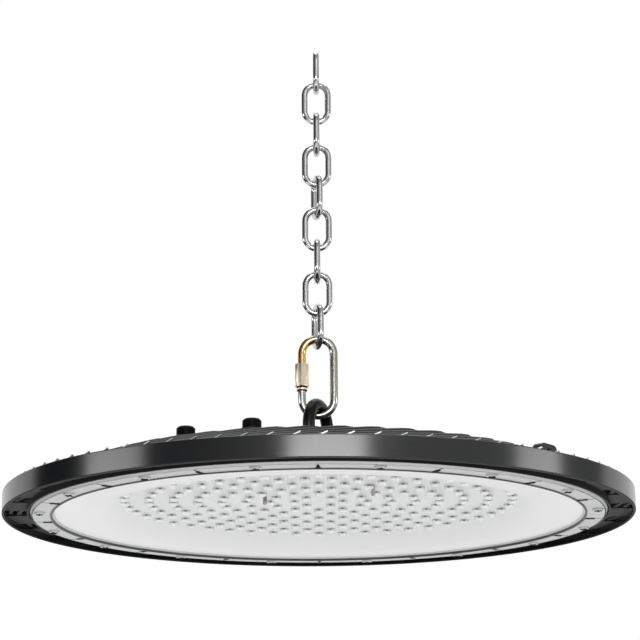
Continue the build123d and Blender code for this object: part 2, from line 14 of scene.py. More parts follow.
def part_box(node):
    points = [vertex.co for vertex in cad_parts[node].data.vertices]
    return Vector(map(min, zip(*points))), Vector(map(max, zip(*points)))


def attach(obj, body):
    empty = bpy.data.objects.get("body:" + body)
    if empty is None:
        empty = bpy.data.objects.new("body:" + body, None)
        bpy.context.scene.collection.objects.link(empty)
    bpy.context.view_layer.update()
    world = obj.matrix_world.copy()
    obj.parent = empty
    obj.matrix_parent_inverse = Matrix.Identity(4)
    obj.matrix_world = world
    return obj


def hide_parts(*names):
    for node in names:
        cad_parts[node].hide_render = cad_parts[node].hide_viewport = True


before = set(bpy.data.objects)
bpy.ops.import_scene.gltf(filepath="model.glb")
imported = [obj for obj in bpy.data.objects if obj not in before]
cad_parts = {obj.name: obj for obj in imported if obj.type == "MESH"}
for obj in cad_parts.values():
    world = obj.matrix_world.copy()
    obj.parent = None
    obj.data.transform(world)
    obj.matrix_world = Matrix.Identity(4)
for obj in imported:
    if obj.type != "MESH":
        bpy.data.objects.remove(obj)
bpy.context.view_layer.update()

MM = 0.001
RIM_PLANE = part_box("housing")[0].z

# Camera, found by fitting the rim, the screws and the links to the photograph
CAMERA_PLACE = Vector((1.2 * MM, -920.3 * MM, RIM_PLANE - 157.8 * MM))
CAMERA_PITCH = 0.2727
CAMERA_ROLL = 0.0069
CAMERA_FOCAL_PIXELS = 1941.0
PHOTO_PIXELS = 640
SENSOR = 36.0

# Finishes: their noise, and the part of its range that is spread out
PATCH_GRAINS = 12
PATCH_DETAIL = 2.0
GRAIN_DETAIL = 3.0
NOISE_LOW = 0.3
NOISE_HIGH = 0.7

# Smooth shading: edges sharper than these degrees stay sharp
SHARP_ANGLE = 35.0
LENS_SHARP_ANGLE = 60.0
STUB_SHARP_ANGLE = 40.0
CHAIN_SHARP_ANGLE = 80.0
LINK_SHARP_ANGLE = 60.0
SLEEVE_SHARP_ANGLE = 25.0

# A turned outline's point nearer the axis than this is one vertex on it
ON_AXIS = 1e-7

# Lens, its domes and its moulding stubs, as in the CAD source
LENS_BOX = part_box("lens")
CLAMP_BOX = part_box("clamp_ring")
CLAMP_FACE = CLAMP_BOX[0].z
CLAMP_TOP = CLAMP_BOX[1].z
LENS_THICKNESS = 1.7 * MM
LENS_OUTER = 135.8 * MM
LENS_FLAT = 106.7 * MM
LENS_SLOPE = 10.0 * MM
LENS_UNDERSIDE = LENS_BOX[1].z - LENS_THICKNESS
DISH_SIDES = 180
DOME_RINGS = 8
DOMES_PER_RING = 6
DOME_PITCH = 11.6 * MM
DOME_RADIUS = 2.4 * MM
DOME_HEIGHT = 2.4 * MM
DOME_SINK = 0.1 * MM
DOME_SIDES = 20
DOME_STEPS = 6
STUB_RADIUS = 0.9 * MM
STUB_LENGTH = 4.9 * MM
STUB_TIP_SHARE = 0.7
STUB_TAPER = 0.4 * MM
STUB_ROOT = 0.2 * MM
STUB_SIDES = 16
STUB_PLACES = [(-25.3 * MM, -17.9 * MM), (25.2 * MM, -37.8 * MM)]

# Inside the domes, pale glints that paint their highlights and dark spots that paint the LEDs' dark image
# seen through them; and the lens's border, painted whiter as a highlight
GLINT_RADIUS = 2.25 * MM
GLINT_DROP = 1.0 * MM
GLINT_HEIGHT = 1.3 * MM
SPOT_RADIUS = 0.8 * MM
SPOT_HEIGHT = 1.05 * MM
SPOT_SIDES = 12
LENS_EDGE_LIGHT_WIDTH = 14.0 * MM
LENS_EDGE_LIGHT_COLOUR = (0.95, 0.95, 0.95)

# Clamp ring: its seams and notches, dark with painted shade; a white band at its outer edge for a painted
# highlight; and a dark ring of painted shadow inside it
CLAMP_INNER = 127.5 * MM
CLAMP_OUTER = 136.2 * MM
RING_SIDES = 240
SEAM_WIDTH = 0.4 * MM
NOTCH_WIDTH = 1.7 * MM
NOTCH_LENGTH = 4.4 * MM
NOTCH_PROUD = 0.35 * MM
PAINTED_MARK_PROUD = 0.03 * MM
PAINTED_MARK_DEPTH = 0.5 * MM
BAND_THICKNESS = 0.05 * MM
BAND_SPREAD = 0.65 * MM
SHADOW_RING_WIDTH = 1.0 * MM
SHADOW_RING_DROP = 0.45 * MM
SHADOW_RING_GAP = 0.1 * MM

# Rim and the vent gap inside it, with the casting's finish there: duller in the gap, which is also darkened
# with painted shade
RIM_INNER = 148.7 * MM
RIM_HEIGHT = 10.0 * MM
GAP_DEPTH = 9.0 * MM
GAP_FADE = 1.0 * MM
GAP_EDGE = 0.2 * MM
GAP_SHADE_COLOUR = (0.004, 0.004, 0.004)
GAP_ROUGHNESS = 0.8
FIN_TOP_FADE = 1.0 * MM
FIN_TOP_ROUGHNESS = 0.55
RIM_FOOT_START = 0.6 * MM
RIM_FOOT_END = 0.4 * MM
RIM_FOOT_ROUGHNESS = 0.8

# Fin ends: wedges that stand on the rim's flat top, each with a painted highlight along its sloping edge
FIN_END_COUNT = 84
FIN_END_INNER = 146.8 * MM
FIN_END_OUTER = 147.6 * MM
FIN_END_LENGTH = 4.0 * MM
FIN_END_FOOT = 0.1 * MM
FIN_END_RISE = 1.6 * MM
FIN_END_SINK = 0.5 * MM
FIN_HIGHLIGHT_THICKNESS = 0.5 * MM

# Clamp screws; the crown is given by shares of the head's radius and rises over its lowest point
SCREW_COUNT = 16
SCREW_CIRCLE = 132.6 * MM
SCREW_HEAD_RADIUS = 2.7 * MM
SCREW_HEAD_HEIGHT = 1.2 * MM
SCREW_CROWN = [(0.0, 0.0), (0.72, 0.06 * MM), (0.92, 0.2 * MM)]
SCREW_SHOULDER = 0.85 * MM
SCREW_SHANK_RADIUS = 1.5 * MM
SCREW_LENGTH = 8.0 * MM
SCREW_SIDES = 24
CROSS_LENGTH = 3.4 * MM
CROSS_WIDTH = 0.9 * MM
CROSS_PROUD = 0.25 * MM

# Driver cover's screws
COVER_SCREW_COUNT = 6
COVER_SCREW_CIRCLE = 53.5 * MM
COVER_CROSS_LENGTH = 4.6 * MM
COVER_CROSS_WIDTH = 1.1 * MM

# Links: stations round each end and along each leg
BEND_STEPS = 20
LEG_STEPS = 6

# Screw link and its sleeve, with the gilt on the link's left leg by its X
LINK_WIRE = 4.0 * MM
LINK_WIDTH = 19.6 * MM
LINK_WIRE_SIDES = 24
LINK_END_RADIUS = (LINK_WIDTH - LINK_WIRE) / 2
LINK_LEFT_LEG = (-LINK_END_RADIUS, 0.0)
GILT_START = -1.0 * MM
GILT_END = -6.0 * MM
GILT_COLOUR = (0.80, 0.50, 0.22)
SLEEVE_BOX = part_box("quick_link_sleeve")
SLEEVE_LOW = SLEEVE_BOX[0].z
SLEEVE_HIGH = SLEEVE_BOX[1].z
SLEEVE_FLATS = 6.6 * MM
SLEEVE_POINTS = 36
SLEEVE_TRAVEL = 5.0 * MM
STUB_IN_SLEEVE = 1.6 * MM
SLEEVE_CHAMFER = 0.4 * MM
SLEEVE_GAP = 0.1 * MM
COLLAR_RADIUS = 2.5 * MM
COLLAR_SIDES = 24
# The grooves wear the dark recess finish: painted shade and dirt
COLLAR_BANDS = [
    ("quick_link_groove_1", "socket", 0.5 * MM),
    ("quick_link_collar", "sleeve", 0.9 * MM),
    ("quick_link_groove_2", "socket", 0.5 * MM),
]

# Chain: its links' wire and width, and the degrees by which some are twisted
CHAIN_LINKS = 9
CHAIN_WIRE = 3.2 * MM
CHAIN_WIDTH = 15.0 * MM
CHAIN_WIRE_SIDES = 20
CHAIN_TWISTS = {5: 14.0, 9: 15.0}

# Stage: a floor and a backdrop
FLOOR_HEIGHT = -1.5
BACKDROP_TOP = 2.2
BACKDROP_DISTANCE = 1.6
STAGE_HALF_WIDTH = 3.0
STAGE_SHADE = 0.8
STAGE_ROUGHNESS = 0.8

# Soft boxes: name, azimuth, distance from the axis, height over the rim plane, size and watts
LAMPS = [
    ("front_strip", 3, 1.9, 0.27, (0.85, 0.34), 10),
    ("left_strip", -73, 1.9, 0.27, (0.80, 0.34), 4.2),
    ("right_strip", 80, 1.9, 0.27, (0.65, 0.34), 3.4),
    ("chain_strip", 24, 1.9, 1.0, (0.25, 0.9), 2),
    ("under_box", 0, 0.3, -1.0, (1.2, 1.2), 6),
    ("top_box", 180, 0.3, 1.5, (1.4, 1.4), 10),
]

# World brightness: the bright side's direction, then the range of cosines to it and its greys
WORLD_BRIGHT_SIDE = (0.64, -0.77, 0.0)
WORLD_SHADES = (-0.2, 0.9, 0.02, 0.60)


def material(name):
    """A new node material and its Principled shader."""
    made = bpy.data.materials.new(name)
    made.use_nodes = True
    return made, made.node_tree.nodes["Principled BSDF"]


def node(made, kind, **settings):
    """A node with its settings."""
    new = made.node_tree.nodes.new(kind)
    for key, value in settings.items():
        setattr(new, key, value)
    return new


def noise(made, size, detail):
    """Noise in the part's own frame, with features of the given size in metres."""
    place = node(made, "ShaderNodeTexCoord")
    grain = node(made, "ShaderNodeTexNoise")
    grain.inputs["Scale"].default_value = 1 / size
    grain.inputs["Detail"].default_value = detail
    made.node_tree.links.new(place.outputs["Object"], grain.inputs["Vector"])
    return grain.outputs["Fac"]


def ranged(made, value, low, high):
    """A noise's middle range, spread from low to high."""
    spread = node(made, "ShaderNodeMapRange")
    spread.inputs["From Min"].default_value = NOISE_LOW
    spread.inputs["From Max"].default_value = NOISE_HIGH
    spread.inputs["To Min"].default_value = low
    spread.inputs["To Max"].default_value = high
    made.node_tree.links.new(value, spread.inputs["Value"])
    return spread.outputs["Result"]


def colour_mix(made, factor):
    """A colour mix driven by a value: its two colour inputs, and its result."""
    mix = node(made, "ShaderNodeMix", data_type="RGBA")
    made.node_tree.links.new(factor, mix.inputs["Factor"])
    colours = [socket for socket in mix.inputs if socket.type == "RGBA"]
    result = [socket for socket in mix.outputs if socket.type == "RGBA"][0]
    return colours, result


def blend_colours(made, value, first, second):
    """A colour between two, by a value."""
    (colour_a, colour_b), mixed = colour_mix(made, value)
    colour_a.default_value = (*first, 1)
    colour_b.default_value = (*second, 1)
    return mixed


def surface(name, first, second, roughness, grain, bump=0.0, vary=0.15, **constants):
    """A procedural finish: two close colours, varied roughness and a fine bump."""
    made, shader = material(name)
    links = made.node_tree.links
    patches = noise(made, PATCH_GRAINS * grain, PATCH_DETAIL)
    fine = noise(made, grain, GRAIN_DETAIL)
    colour = blend_colours(made, ranged(made, patches, 0, 1), first, second)
    links.new(colour, shader.inputs["Base Color"])
    uneven = ranged(made, fine, roughness * (1 - vary), roughness * (1 + vary))
    links.new(uneven, shader.inputs["Roughness"])
    if bump:
        relief = node(made, "ShaderNodeBump")
        relief.inputs["Distance"].default_value = bump
        relief.inputs["Strength"].default_value = 1.0
        links.new(fine, relief.inputs["Height"])
        links.new(relief.outputs["Normal"], shader.inputs["Normal"])
    for key, value in constants.items():
        shader.inputs[key.replace("_", " ")].default_value = value
    return made


def coordinate(made, axis):
    """A point's X, Y or Z in the part's frame, as a node output."""
    place = node(made, "ShaderNodeTexCoord")
    split = node(made, "ShaderNodeSeparateXYZ")
    made.node_tree.links.new(place.outputs["Object"], split.inputs["Vector"])
    return split.outputs[axis]


def axis_distance(made):
    """A point's distance from the light's upright axis, as a node output."""
    place = node(made, "ShaderNodeTexCoord")
    flat = node(made, "ShaderNodeVectorMath", operation="MULTIPLY")
    measure = node(made, "ShaderNodeVectorMath", operation="LENGTH")
    flat.inputs[1].default_value = (1, 1, 0)
    made.node_tree.links.new(place.outputs["Object"], flat.inputs[0])
    made.node_tree.links.new(flat.outputs[0], measure.inputs[0])
    return measure.outputs["Value"]


def step_between(made, value, start, end):
    """A mask that goes from 0 at start to 1 at end, whichever of them is greater."""
    spread = node(made, "ShaderNodeMapRange")
    spread.inputs["From Min"].default_value = start
    spread.inputs["From Max"].default_value = end
    made.node_tree.links.new(value, spread.inputs["Value"])
    return spread.outputs["Result"]


def both_masks(made, first, second):
    """A mask that is 1 where two masks are."""
    product = node(made, "ShaderNodeMath", operation="MULTIPLY")
    made.node_tree.links.new(first, product.inputs[0])
    made.node_tree.links.new(second, product.inputs[1])
    return product.outputs[0]


def recolour(made, mask, colour):
    """Turns a finish towards a colour where the mask is 1."""
    shader = made.node_tree.nodes["Principled BSDF"]
    below = shader.inputs["Base Color"].links[0].from_socket
    (colour_a, colour_b), mixed = colour_mix(made, mask)
    colour_b.default_value = (*colour, 1)
    made.node_tree.links.new(below, colour_a)
    made.node_tree.links.new(mixed, shader.inputs["Base Color"])


def roughen(made, mask, roughness):
    """Turns a finish's roughness towards a value where the mask is 1."""
    shader = made.node_tree.nodes["Principled BSDF"]
    below = shader.inputs["Roughness"].links[0].from_socket
    mix = node(made, "ShaderNodeMix", data_type="FLOAT")
    factor, before, after = [socket for socket in mix.inputs if socket.type == "VALUE"][:3]
    made.node_tree.links.new(mask, factor)
    made.node_tree.links.new(below, before)
    after.default_value = roughness
    made.node_tree.links.new(mix.outputs[0], shader.inputs["Roughness"])


def shade_casting(casting):
    """A duller vent gap darkened with painted shade, and duller fin tops and rim foot."""
    gap_top = RIM_PLANE + GAP_DEPTH
    under = step_between(casting, coordinate(casting, "Z"), gap_top, gap_top - GAP_FADE)
    inside = step_between(casting, axis_distance(casting), RIM_INNER, RIM_INNER - GAP_EDGE)
    gap = both_masks(casting, under, inside)
    roughen(casting, gap, GAP_ROUGHNESS)
    # Painted shade: the vent gap turned near black, where shade falls inside it
    recolour(casting, gap, GAP_SHADE_COLOUR)
    rim_top = RIM_PLANE + RIM_HEIGHT
    fin_tops = step_between(casting, coordinate(casting, "Z"), rim_top, rim_top + FIN_TOP_FADE)
    roughen(casting, fin_tops, FIN_TOP_ROUGHNESS)
    foot_start = RIM_PLANE + RIM_FOOT_START
    foot_end = RIM_PLANE + RIM_FOOT_END
    rim_foot = step_between(casting, coordinate(casting, "Z"), foot_start, foot_end)
    roughen(casting, rim_foot, RIM_FOOT_ROUGHNESS)


def shade_lens(lens):
    """A painted highlight: the lens whiter towards its flat flange, where its sloping wall catches light."""
    edge_light = step_between(lens, axis_distance(lens), LENS_FLAT - LENS_EDGE_LIGHT_WIDTH, LENS_FLAT)
    # Painted highlight: whiter towards the flange
    recolour(lens, edge_light, LENS_EDGE_LIGHT_COLOUR)


def shade_link(link):
    """Gilt on the screw link's left side, from the sleeve upwards."""
    left = step_between(link, coordinate(link, "X"), GILT_START, GILT_END)
    upper = step_between(link, coordinate(link, "Z"), SLEEVE_LOW, SLEEVE_HIGH)
    recolour(link, both_masks(link, left, upper), GILT_COLOUR)


def make_materials():
    """Every finish, under its name."""
    return {
        "casting": surface(
            "black_casting_finish", (0.007, 0.008, 0.009), (0.010, 0.011, 0.012), 0.19, 2.0 * MM,
            vary=0.03, IOR=1.6,
        ),
        "black_steel": surface(
            "black_steel_finish", (0.003, 0.003, 0.003), (0.006, 0.006, 0.006), 0.30, 0.5 * MM,
            bump=0.003 * MM, Specular_IOR_Level=0.2,
        ),
        "clamp": surface(
            "satin_aluminium_finish", (0.55, 0.56, 0.57), (0.60, 0.61, 0.62), 0.42, 0.8 * MM,
            bump=0.004 * MM, Metallic=0.3,
        ),
        "bright_steel": surface(
            "bright_steel_finish", (0.72, 0.72, 0.71), (0.80, 0.80, 0.79), 0.22, 0.4 * MM, Metallic=1.0,
        ),
        "chain": surface(
            "chain_finish", (0.52, 0.52, 0.52), (0.64, 0.64, 0.64), 0.16, 2.0 * MM,
            bump=0.004 * MM, Metallic=1.0,
        ),
        "link": surface(
            "zinc_link_finish", (0.50, 0.50, 0.48), (0.47, 0.44, 0.37), 0.14, 2.0 * MM,
            bump=0.003 * MM, Metallic=1.0,
        ),
        "sleeve": surface(
            "gilt_sleeve_finish", (0.91, 0.83, 0.66), (0.86, 0.75, 0.54), 0.32, 0.6 * MM,
            bump=0.004 * MM, Metallic=0.8,
        ),
        "lens": surface(
            "clear_lens_finish", (0.81, 0.82, 0.82), (0.83, 0.84, 0.84), 0.35, 2.0 * MM,
        ),
        "dome": surface(
            "lens_dome_finish", (0.88, 0.89, 0.90), (0.92, 0.93, 0.94), 0.10, 2.0 * MM, Alpha=0.25,
        ),
        # Painted highlights: pale glints inside the domes
        "glint": surface("lens_glint_finish", (0.93, 0.94, 0.95), (0.96, 0.96, 0.97), 0.2, 2.0 * MM),
        # Painted dark image of the LED seen through each dome
        "spot": surface("lens_spot_finish", (0.12, 0.12, 0.12), (0.20, 0.20, 0.19), 0.3, 0.5 * MM),
        "stub": surface(
            "gate_stub_finish", (0.10, 0.09, 0.07), (0.75, 0.72, 0.62), 0.1, 0.3 * MM, Alpha=0.8,
        ),
        # Painted highlight: the pale caps along the fin ends' sloping edges
        "edge": surface(
            "fin_edge_highlight_finish", (0.62, 0.63, 0.64), (0.72, 0.73, 0.74), 0.35, 1.0 * MM, Metallic=0.5,
        ),
        # Painted highlight for the white band round the clamp ring's outer edge
        "band": surface("clamp_highlight_finish", (0.93, 0.93, 0.93), (0.96, 0.96, 0.96), 0.5, 1.0 * MM),
        # Painted shade for the seams, notches, screw recesses and grooves
        "socket": surface(
            "recess_shade_finish", (0.006, 0.006, 0.006), (0.010, 0.010, 0.010), 0.7, 0.4 * MM,
            Specular_IOR_Level=0.1,
        ),
        "white_rubber": surface("white_rubber_finish", (0.7, 0.7, 0.68), (0.75, 0.75, 0.73), 0.6, 0.5 * MM),
        "black_rubber": surface("black_rubber_finish", (0.02, 0.02, 0.02), (0.03, 0.03, 0.03), 0.6, 0.5 * MM),
        # Painted shadow for the dark ring inside the clamp ring
        "shadow_ring": surface("lens_shadow_ring_finish", (0.06, 0.06, 0.06), (0.08, 0.08, 0.08), 0.5, 0.5 * MM),
        "board": surface("white_board_finish", (0.82, 0.83, 0.83), (0.86, 0.87, 0.87), 0.35, 1.0 * MM),
        "led": surface("led_finish", (0.75, 0.68, 0.35), (0.80, 0.74, 0.42), 0.4, 0.5 * MM),
        "green_board": surface("green_board_finish", (0.03, 0.16, 0.07), (0.04, 0.20, 0.09), 0.35, 1.0 * MM),
        "ferrite": surface("ferrite_finish", (0.05, 0.05, 0.05), (0.07, 0.07, 0.07), 0.7, 0.5 * MM),
        "tape": surface("winding_tape_finish", (0.70, 0.50, 0.08), (0.78, 0.58, 0.10), 0.4, 1.0 * MM),
        "can": surface("capacitor_can_finish", (0.06, 0.08, 0.18), (0.08, 0.10, 0.22), 0.35, 1.0 * MM),
        "green_plastic": surface("terminal_finish", (0.06, 0.28, 0.10), (0.08, 0.32, 0.12), 0.4, 0.5 * MM),
        "red": surface("lead_insulation_finish", (0.45, 0.04, 0.03), (0.52, 0.05, 0.04), 0.4, 0.5 * MM),
        "plastic": surface(
            "black_plastic_finish", (0.002, 0.002, 0.002), (0.004, 0.004, 0.004), 0.45, 0.5 * MM,
            Specular_IOR_Level=0.06,
        ),
    }


# The CAD nodes that wear each finish
NODE_FINISHES = {
    "casting": ["housing", "driver_cover"],
    "black_steel": ["eye_bolt"],
    "clamp": ["clamp_ring", "cover_screws"],
    "bright_steel": ["clamp_screws", "board_screws", "eye_washer", "eye_locknut", "driver_screws"],
    "lens": ["lens"],
    "white_rubber": ["lens_gasket"],
    "black_rubber": ["cover_gasket", "lead_grommet"],
    "board": ["led_board"],
    "led": ["leds"],
    "green_board": ["driver_board"],
    "ferrite": ["transformer_core", "choke"],
    "tape": ["transformer_winding"],
    "can": ["capacitors"],
    "green_plastic": ["terminal_block"],
    "red": ["led_leads"],
    "plastic": ["driver_spacers", "gland_body", "gland_nut", "gland_locknut", "breather_valve", "port_plug"],
    "link": ["quick_link"],
    "sleeve": ["quick_link_sleeve"],
    "chain": [f"chain_link_{k + 1}" for k in range(CHAIN_LINKS)],
}


def dress_nodes(finishes):
    """Gives every CAD node its finish."""
    for finish, names in NODE_FINISHES.items():
        for name in names:
            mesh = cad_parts[name].data
            mesh.materials.clear()
            mesh.materials.append(finishes[finish])


def mesh_object(name, bm, finish, body):
    """A shown piece from a bmesh, riding on a body."""
    bmesh.ops.recalc_face_normals(bm, faces=bm.faces)
    mesh = bpy.data.meshes.new(name)
    bm.to_mesh(mesh)
    bm.free()
    mesh.materials.append(finish)
    made = bpy.data.objects.new(name, mesh)
    bpy.context.scene.collection.objects.link(made)
    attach(made, body)
    return made


def smooth(made, degrees=SHARP_ANGLE):
    """Smooth shading, with edges sharper than an angle kept."""
    made.data.shade_smooth()
    made.data.set_sharp_from_angle(angle=radians(degrees))
    return made


def turn_profile(bm, profile, sides, centre=(0.0, 0.0), closed=True):
    """Turns an outline of (radius, height) points about an upright axis."""
    cx, cy = centre
    rings = []
    for radius, height in profile:
        if radius < ON_AXIS:
            rings.append([bm.verts.new((cx, cy, height))])
        else:
            rings.append([
                bm.verts.new((cx + radius * cos(tau * k / sides), cy + radius * sin(tau * k / sides), height))
                for k in range(sides)
            ])
    pairs = list(zip(rings, rings[1:]))
    if closed:
        pairs.append((rings[-1], rings[0]))
    for low, high in pairs:
        for k in range(sides):
            j = k + 1
            corners = [low[k % len(low)], low[j % len(low)], high[j % len(high)], high[k % len(high)]]
            corners = list(dict.fromkeys(corners))
            if len(corners) > 2:
                bm.faces.new(corners)


def dome_places():
    """Where each dome stands, on rings that each have six more than the last."""
    for ring in range(1, DOME_RINGS + 1):
        count = DOMES_PER_RING * ring
        for k in range(count):
            angle = tau * k / count
            yield ring * DOME_PITCH * cos(angle), ring * DOME_PITCH * sin(angle)


def cap_profile(radius, height, bottom, sink):
    """A round cap that hangs from a height: a half-ellipse outline with a short sunk foot."""
    points = [(radius, bottom + sink)]
    for k in range(DOME_STEPS + 1):
        angle = pi / 2 * k / DOME_STEPS
        points.append((radius * cos(angle), bottom - height * sin(angle)))
    return points


def make_lens_dish(finishes):
    """The lens: a smooth dish with a flat flange."""
    slope_end = LENS_FLAT - LENS_SLOPE
    top = LENS_UNDERSIDE + LENS_THICKNESS
    flange_top = CLAMP_TOP + LENS_THICKNESS
    profile = [
        (0.0, LENS_UNDERSIDE),
        (slope_end, LENS_UNDERSIDE),
        (LENS_FLAT, CLAMP_TOP),
        (LENS_OUTER, CLAMP_TOP),
        (LENS_OUTER, flange_top),
        (LENS_FLAT + LENS_THICKNESS / 2, flange_top),
        (slope_end + LENS_THICKNESS / 2, top),
        (0.0, top),
    ]
    bm = bmesh.new()
    turn_profile(bm, profile, DISH_SIDES, closed=False)
    dish = mesh_object("lens_dish", bm, finishes["lens"], "fixture")
    smooth(dish, LENS_SHARP_ANGLE)
    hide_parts("lens")


def lens_piece(name, profile, sides, places, finish, sharp_angle=LENS_SHARP_ANGLE):
    """One piece of the lens: the same turned form at each place."""
    bm = bmesh.new()
    for place in places:
        turn_profile(bm, profile, sides, place, closed=False)
    smooth(mesh_object(name, bm, finish, "fixture"), sharp_angle)


def make_lens_details(finishes):
    """The lens's domes, the painted glints and painted dark spots inside them, and its moulding stubs."""
    domes = list(dome_places())
    dome = cap_profile(DOME_RADIUS, DOME_HEIGHT, LENS_UNDERSIDE, DOME_SINK)
    lens_piece("lens_domes", dome, DOME_SIDES, domes, finishes["dome"])
    glint_top = LENS_UNDERSIDE - GLINT_DROP
    glint = [(0.0, glint_top), *cap_profile(GLINT_RADIUS, GLINT_HEIGHT, glint_top, 0.0)[1:]]
    lens_piece("lens_glints", glint, DOME_SIDES, domes, finishes["glint"])
    spot_low = LENS_UNDERSIDE - SPOT_HEIGHT
    spot = [
        (0.0, LENS_UNDERSIDE),
        (SPOT_RADIUS, LENS_UNDERSIDE),
        (SPOT_RADIUS, spot_low),
        (0.0, spot_low),
    ]
    # Dark spots in the domes paint the LEDs' dark image seen through them
    lens_piece("lens_spots", spot, SPOT_SIDES, domes, finishes["spot"])
    stub_low = LENS_UNDERSIDE - STUB_LENGTH
    stub = [
        (0.0, stub_low),
        (STUB_RADIUS * STUB_TIP_SHARE, stub_low),
        (STUB_RADIUS, stub_low + STUB_TAPER),
        (STUB_RADIUS, LENS_UNDERSIDE + STUB_ROOT),
    ]
    lens_piece("lens_stubs", stub, STUB_SIDES, STUB_PLACES, finishes["stub"], STUB_SHARP_ANGLE)


def box_piece(bm, turn, middle, length, width, low, high):
    """A box whose length lies along a radius: middle is its centre's distance from the axis."""
    corners = []
    for z in (low, high):
        for x, y in ((-1, -1), (1, -1), (1, 1), (-1, 1)):
            place = Vector((middle + x * length / 2, y * width / 2, z))
            corners.append(bm.verts.new(Matrix.Rotation(turn, 3, "Z") @ place))
    for face in ((0, 1, 2, 3), (4, 5, 6, 7), (0, 1, 5, 4), (1, 2, 6, 5), (2, 3, 7, 6), (3, 0, 4, 7)):
        bm.faces.new([corners[k] for k in face])


def cross_piece(bm, turn, middle, length, width, low, high):
    """A cross of two equal boxes, one along a radius."""
    for along, across in ((length, width), (width, length)):
        box_piece(bm, turn, middle, along, across, low, high)


def ring_piece(name, profile, finish):
    """A ring about the light's axis, from its (radius, height) outline."""
    bm = bmesh.new()
    turn_profile(bm, profile, RING_SIDES)
    smooth(mesh_object(name, bm, finish, "fixture"))


def make_clamp_rings(finishes):
    """The clamp ring's edge band, white for a painted highlight, and a dark ring of painted shadow inside it.
    """
    edge = [
        (CLAMP_OUTER - PAINTED_MARK_DEPTH, CLAMP_FACE),
        (CLAMP_OUTER + BAND_THICKNESS, CLAMP_FACE),
        (CLAMP_OUTER + BAND_SPREAD, CLAMP_TOP),
        (CLAMP_OUTER - PAINTED_MARK_DEPTH, CLAMP_TOP),
    ]
    # Painted highlight: a white band round the clamp ring's outer edge
    ring_piece("clamp_highlight_band", edge, finishes["band"])
    shadow_ring = [
        (CLAMP_INNER - SHADOW_RING_WIDTH, CLAMP_FACE - SHADOW_RING_DROP),
        (CLAMP_INNER - SHADOW_RING_GAP, CLAMP_FACE - SHADOW_RING_DROP),
        (CLAMP_INNER - SHADOW_RING_GAP, CLAMP_TOP),
        (CLAMP_INNER - SHADOW_RING_WIDTH, CLAMP_TOP),
    ]
    # Painted shadow: a dark ring under the clamp's inner edge, where its shadow falls on the lens
    ring_piece("lens_shadow_ring", shadow_ring, finishes["shadow_ring"])


def make_clamp_seams(finishes):
    """The clamp ring's seams and the notches at their inner ends, dark with painted shade."""
    seams = bmesh.new()
    notches = bmesh.new()
    root = CLAMP_FACE + PAINTED_MARK_DEPTH
    seam_middle = (CLAMP_INNER + CLAMP_OUTER) / 2
    seam_length = CLAMP_OUTER - CLAMP_INNER - PAINTED_MARK_PROUD
    seam_low = CLAMP_FACE - PAINTED_MARK_PROUD
    notch_middle = CLAMP_INNER + NOTCH_LENGTH / 2
    notch_low = CLAMP_FACE - NOTCH_PROUD
    for k in range(SCREW_COUNT):
        turn = tau * k / SCREW_COUNT
        box_piece(seams, turn, seam_middle, seam_length, SEAM_WIDTH, seam_low, root)
        box_piece(notches, turn, notch_middle, NOTCH_LENGTH, NOTCH_WIDTH, notch_low, root)
    # Painted shade: dark seams and notches in the clamp ring
    mesh_object("clamp_seams", seams, finishes["socket"], "fixture")
    mesh_object("clamp_notches", notches, finishes["socket"], "fixture")


def wedge(bm, turn, bottoms, tops):
    """A wedge on the rim, along it; bottoms and tops are its heights at its two ends."""
    corners = []
    for along, bottom, top in zip((0.0, FIN_END_LENGTH), bottoms, tops):
        for radius in (FIN_END_INNER, FIN_END_OUTER):
            for height in (bottom, top):
                place = Vector((radius, along, height))
                corners.append(bm.verts.new(Matrix.Rotation(turn, 3, "Z") @ place))
    for face in ((0, 1, 3, 2), (4, 5, 7, 6), (0, 1, 5, 4), (2, 3, 7, 6), (0, 2, 6, 4), (1, 3, 7, 5)):
        bm.faces.new([corners[k] for k in face])


def make_fin_ends(finishes):
    """The fins' ends on the rim's top, dark below, with a painted highlight along their sloping edges."""
    bodies = bmesh.new()
    edges = bmesh.new()
    rim_top = RIM_PLANE + RIM_HEIGHT
    foot = rim_top - FIN_END_SINK
    tops = (rim_top + FIN_END_FOOT, rim_top + FIN_END_FOOT + FIN_END_RISE)
    below = [height - FIN_HIGHLIGHT_THICKNESS for height in tops]
    for k in range(FIN_END_COUNT):
        turn = tau * k / FIN_END_COUNT - pi / 2
        wedge(bodies, turn, (foot, foot), below)
        # A pale cap on each wedge paints the highlight on its sloping edge
        wedge(edges, turn, below, tops)
    mesh_object("fin_ends", bodies, finishes["casting"], "fixture")
    mesh_object("fin_end_highlights", edges, finishes["edge"], "fixture")


def make_cover_screw_crosses(finishes):
    """Crosses of painted shade in the driver cover's screws, a hair proud of its top."""
    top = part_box("driver_cover")[1].z
    low = top - PAINTED_MARK_DEPTH
    high = top + PAINTED_MARK_PROUD
    crosses = bmesh.new()
    for k in range(COVER_SCREW_COUNT):
        turn = tau * k / COVER_SCREW_COUNT
        cross_piece(crosses, turn, COVER_SCREW_CIRCLE, COVER_CROSS_LENGTH, COVER_CROSS_WIDTH, low, high)
    mesh_object("cover_screw_crosses", crosses, finishes["socket"], "fixture")


